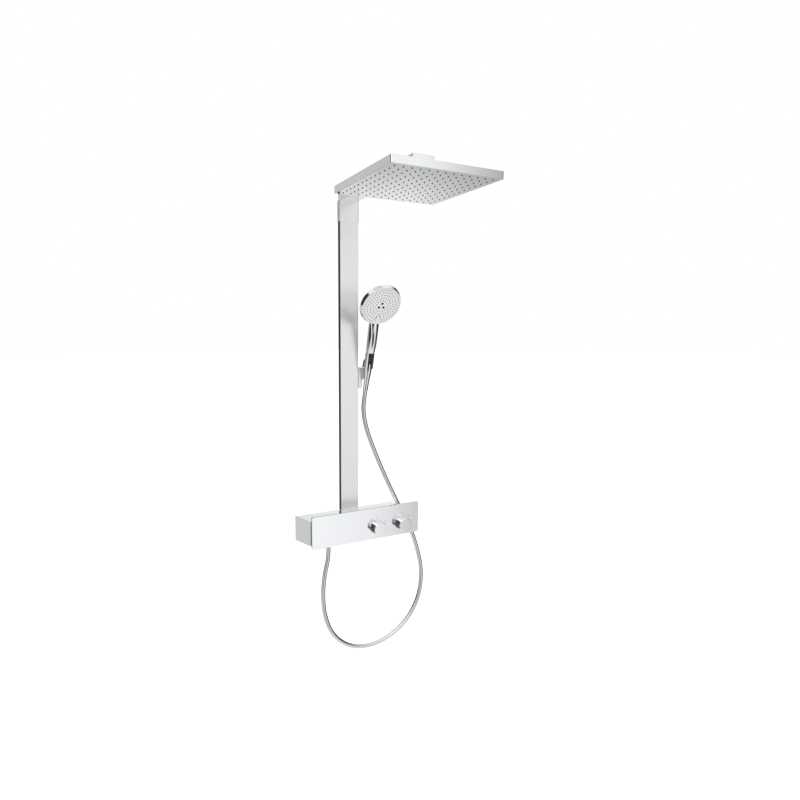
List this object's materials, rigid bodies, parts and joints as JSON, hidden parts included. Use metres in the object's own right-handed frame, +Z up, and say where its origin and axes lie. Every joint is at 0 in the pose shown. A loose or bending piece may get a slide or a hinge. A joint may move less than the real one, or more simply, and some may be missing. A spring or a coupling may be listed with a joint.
{
  "type": "rainfall shower column",
  "caption": "Wall-mounted rainfall shower column: square overhead spray on an arm, flat column, glass-fronted thermostatic mixer with dials, sliding holder, hand shower and hose.",
  "frame": {"origin": "on the wall surface, on the column's centre line, at the mixer housing's mid height", "axes": "+X right along the wall as seen by someone facing it, +Y into the wall, +Z up; the part stands out towards -Y"},
  "size_m": [0.466, 0.561, 1.4885],
  "materials": {
    "chrome": "polished chrome plate",
    "chromed_plastic": "polished chrome plate on plastic",
    "satin_aluminium": "satin anodised",
    "hose_silver": "smooth silver hose, fine spiral below a clear skin",
    "panel_glass": "back-painted toughened glass, opaque",
    "brass": "machined",
    "copper_pipe": "drawn tube",
    "steel": "pressed stainless steel",
    "dark_rubber": "soft matt silicone",
    "dark_plastic": "moulded"
  },
  "bodies": {
    "root": {"column_rail": "satin_aluminium", "column_cover": "satin_aluminium", "column_foot": "satin_aluminium", "column_cheeks": "satin_aluminium", "sleeve_screws": "steel", "wall_bracket": "steel", "riser_pipe": "copper_pipe", "riser_elbow": "brass", "arm_pipe": "copper_pipe", "arm_pipe_clip": "dark_plastic", "head_connector": "brass", "arm_housing": "chrome", "arm_end_cap": "chrome", "arm_screws": "steel", "ball_socket_nut": "chrome", "tablet_housing": "chrome", "tablet_bracket": "steel", "housing_screws": "steel", "panel_carrier": "dark_plastic", "front_panel": "panel_glass", "mixer_body": "brass", "inlet_unions": "brass", "union_nuts": "brass", "check_valves": "dark_plastic", "thermostat_cartridge": "dark_plastic", "diverter_cartridge": "dark_plastic", "cartridge_nuts": "brass", "stop_rings": "dark_plastic", "hose_outlet": "chrome", "hose_nut_lower": "chrome", "hose_tube": "hose_silver"},
    "head_yoke": {"ball_seat_ring": "dark_plastic"},
    "rain_head": {"ball_stud": "brass", "head_hub": "chrome", "head_shell": "chrome", "head_face": "chrome", "head_nozzle_mat": "dark_rubber", "head_gasket": "dark_rubber", "head_chamber": "dark_plastic"},
    "temperature_dial": {"temperature_knob": "chromed_plastic", "temperature_spindle": "brass"},
    "diverter_dial": {"diverter_knob": "chromed_plastic", "diverter_spindle": "brass"},
    "slider": {"slider_block": "satin_aluminium", "slider_key": "steel", "holder_pivot_pin": "steel"},
    "holder": {"holder_sleeve": "chromed_plastic", "holder_liner": "dark_plastic"},
    "hand_shower": {"handset_shell": "chromed_plastic", "handset_face": "chromed_plastic", "handset_nozzles": "dark_rubber", "handset_chamber": "dark_plastic", "centre_nozzles": "dark_rubber", "handset_connector": "dark_plastic", "handset_washer": "dark_rubber", "hose_nut_upper": "chromed_plastic"},
    "select_button": {"select_button": "chromed_plastic"}
  },
  "joints": [
    {"name": "head_tilt_fore_aft", "type": "hinge", "parent": "root", "child": "head_yoke", "pos_m": [0, -0.396, 1.008], "axis": [1, 0, 0], "range_deg": [-6, 6]},
    {"name": "head_tilt_side", "type": "hinge", "parent": "head_yoke", "child": "rain_head", "pos_m": [0, -0.396, 1.008], "axis": [0, 1, 0], "range_deg": [-8, 8]},
    {"name": "temperature_turn", "type": "hinge", "parent": "root", "child": "temperature_dial", "pos_m": [0.068, -0.08, -0.01], "axis": [0, -1, 0], "range_deg": [-70, 70]},
    {"name": "diverter_turn", "type": "hinge", "parent": "root", "child": "diverter_dial", "pos_m": [0.159, -0.08, -0.01], "axis": [0, -1, 0], "range_deg": [-60, 60]},
    {"name": "holder_height", "type": "slide", "parent": "root", "child": "slider", "axis": [0, 0, 1], "range_m": [-0.2, 0.1], "deforming": ["hose_tube"]},
    {"name": "holder_tilt", "type": "hinge", "parent": "slider", "child": "holder", "pos_m": [0.046, -0.012, 0.472], "axis": [1, 0, 0], "range_deg": [-15, 10], "deforming": ["hose_tube"]},
    {"name": "handset_lift", "type": "slide", "parent": "holder", "child": "hand_shower", "axis": [0, -0.2689, 0.9632], "range_m": [0, 0.08], "deforming": ["hose_tube"]},
    {"name": "button_press", "type": "slide", "parent": "hand_shower", "child": "select_button", "axis": [0, 0.8339, 0.5519], "range_m": [0, 0.0022], "stiffness_N_per_m": 400, "springref_m": -0.001}
  ]
}
